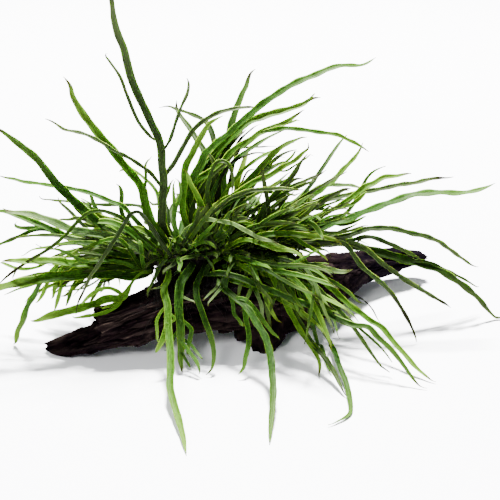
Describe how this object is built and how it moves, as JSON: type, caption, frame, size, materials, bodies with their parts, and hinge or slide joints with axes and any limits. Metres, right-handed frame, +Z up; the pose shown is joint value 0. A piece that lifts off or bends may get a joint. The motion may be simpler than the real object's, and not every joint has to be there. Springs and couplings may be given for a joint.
{
  "type": "java fern on driftwood",
  "caption": "Narrow-leaved java fern whose creeping rhizome is rooted along a dark driftwood branch, with forked fronds arching out on all sides.",
  "frame": {"origin": "middle of the flat rest under the driftwood's foot", "axes": "+X to the right along the branch, +Y away from the front of the plant, +Z up"},
  "size_m": [0.3792, 0.2799, 0.2454],
  "materials": {
    "bog_wood": "wet-looking dark bogwood with grain along it",
    "rhizome_scale": "dark green-brown creeping stem with scales and root hair",
    "root_fibre": "mat of fine black-brown roots",
    "fresh_frond": "glossy bright green leathery blade with a raised midrib",
    "deep_frond": "glossy dark green leathery blade",
    "grey_frond": "pale grey-green blade with a silvery sheen"
  },
  "bodies": {
    "root": {"driftwood_heart": "bog_wood", "driftwood_left_arm": "bog_wood", "driftwood_right_arm": "bog_wood", "frond_back_inner": "fresh_frond", "frond_back_left": "fresh_frond", "frond_back_middle": "fresh_frond", "frond_back_right": "fresh_frond", "frond_front_fingers": "fresh_frond", "frond_front_single": "fresh_frond", "frond_front_sweep": "fresh_frond", "frond_front_trident": "fresh_frond", "frond_hanging_left": "fresh_frond", "frond_left_broad": "fresh_frond", "frond_left_dark": "deep_frond", "frond_left_diagonal": "deep_frond", "frond_left_fingers": "fresh_frond", "frond_left_forked": "fresh_frond", "frond_left_grey": "grey_frond", "frond_left_high": "fresh_frond", "frond_left_lower": "fresh_frond", "frond_left_short": "fresh_frond", "frond_left_striped": "grey_frond", "frond_left_tall": "fresh_frond", "frond_left_thin": "fresh_frond", "frond_pale_broad": "grey_frond", "frond_right_broad": "fresh_frond", "frond_right_curled": "fresh_frond", "frond_right_dark_rising": "deep_frond", "frond_right_falling": "fresh_frond", "frond_right_front_dark": "deep_frond", "frond_right_front_short": "fresh_frond", "frond_right_hooked": "fresh_frond", "frond_right_longest": "fresh_frond", "frond_right_low_dark": "deep_frond", "frond_right_low_long": "fresh_frond", "frond_right_nodding": "fresh_frond", "frond_right_olive": "deep_frond", "frond_right_pale_arch": "grey_frond", "frond_right_thin": "fresh_frond", "frond_right_wide": "fresh_frond", "frond_rising_branched": "fresh_frond", "frond_rising_forked": "fresh_frond", "frond_rising_grey": "grey_frond", "frond_small_arch": "grey_frond", "frond_tall_trident": "fresh_frond", "frond_upright_arch": "fresh_frond", "frond_upright_curl": "fresh_frond", "frond_upright_forked": "fresh_frond", "frond_upright_longest": "fresh_frond", "frond_upright_needle": "fresh_frond", "frond_upright_nodding": "grey_frond", "frond_upright_pale": "grey_frond", "frond_upright_slim": "fresh_frond", "frond_upright_yellow": "fresh_frond", "rhizome": "rhizome_scale", "roots_left": "root_fibre", "roots_right": "root_fibre"}
  },
  "joints": []
}
